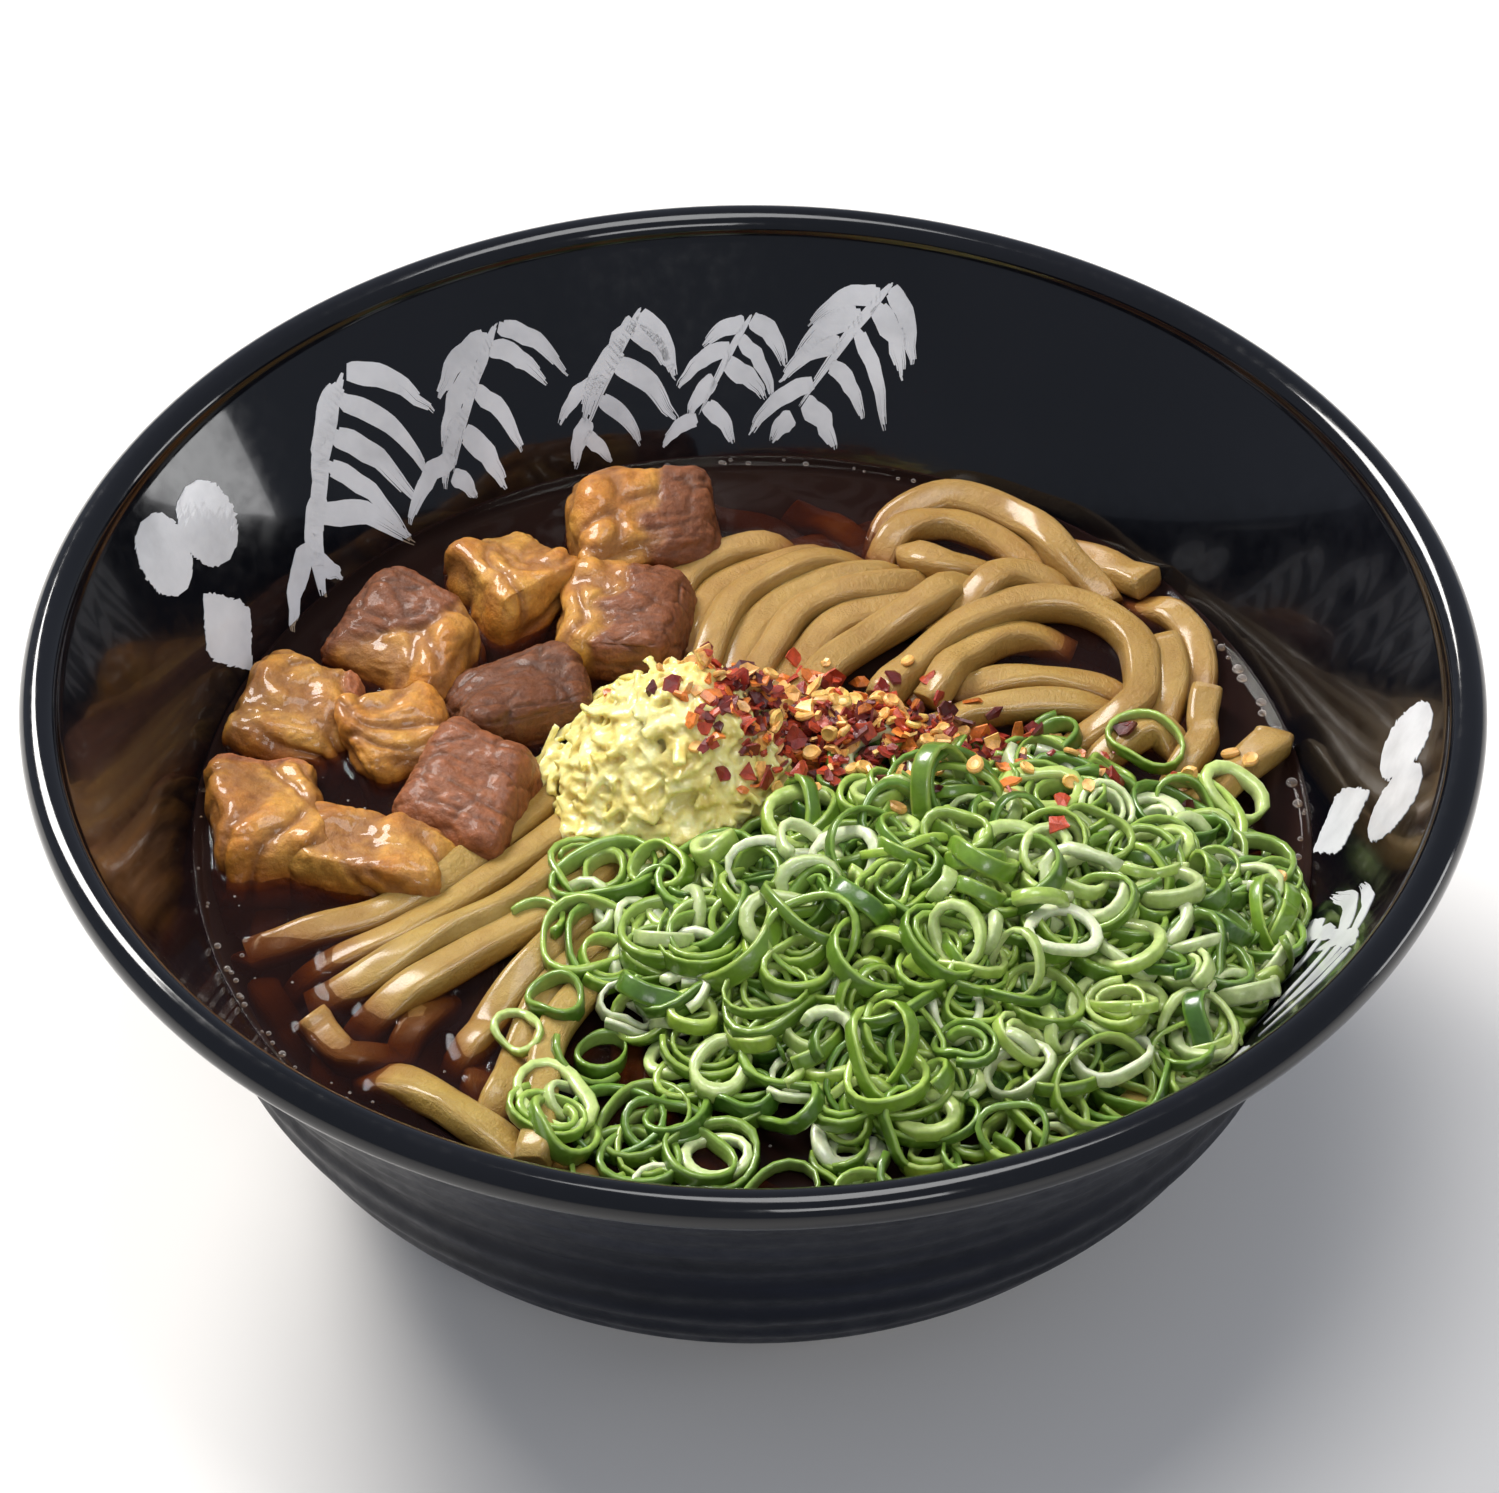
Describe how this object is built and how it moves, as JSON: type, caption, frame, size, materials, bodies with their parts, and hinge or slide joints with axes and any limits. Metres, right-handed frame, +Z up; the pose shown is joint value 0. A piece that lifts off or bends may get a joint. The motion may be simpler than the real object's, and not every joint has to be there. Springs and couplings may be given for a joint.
{
  "type": "udon noodle bowl",
  "caption": "Flared black bowl on a ring foot holding thick wheat noodles in dark broth, topped with cubes of stewed beef, grated ginger and sliced spring onion.",
  "frame": {"origin": "middle of the ring foot, on the table", "axes": "+Z up out of the bowl; -Y towards the eater, with the spring onion at the front right and the beef at the back left"},
  "size_m": [0.21, 0.21, 0.086],
  "materials": {
    "black_glaze": "gloss black glaze inside, satin outside",
    "broth": "clear dark liquid",
    "noodles": "wet",
    "beef": "wet",
    "ginger": "moist",
    "spring_onion": "moist"
  },
  "bodies": {
    "root": {"bowl": "black_glaze", "broth": "broth", "noodles": "noodles", "beef_1": "beef", "beef_2": "beef", "beef_3": "beef", "beef_4": "beef", "beef_5": "beef", "beef_6": "beef", "beef_7": "beef", "beef_8": "beef", "beef_9": "beef", "beef_10": "beef", "ginger": "ginger", "spring_onion": "spring_onion"}
  },
  "joints": []
}
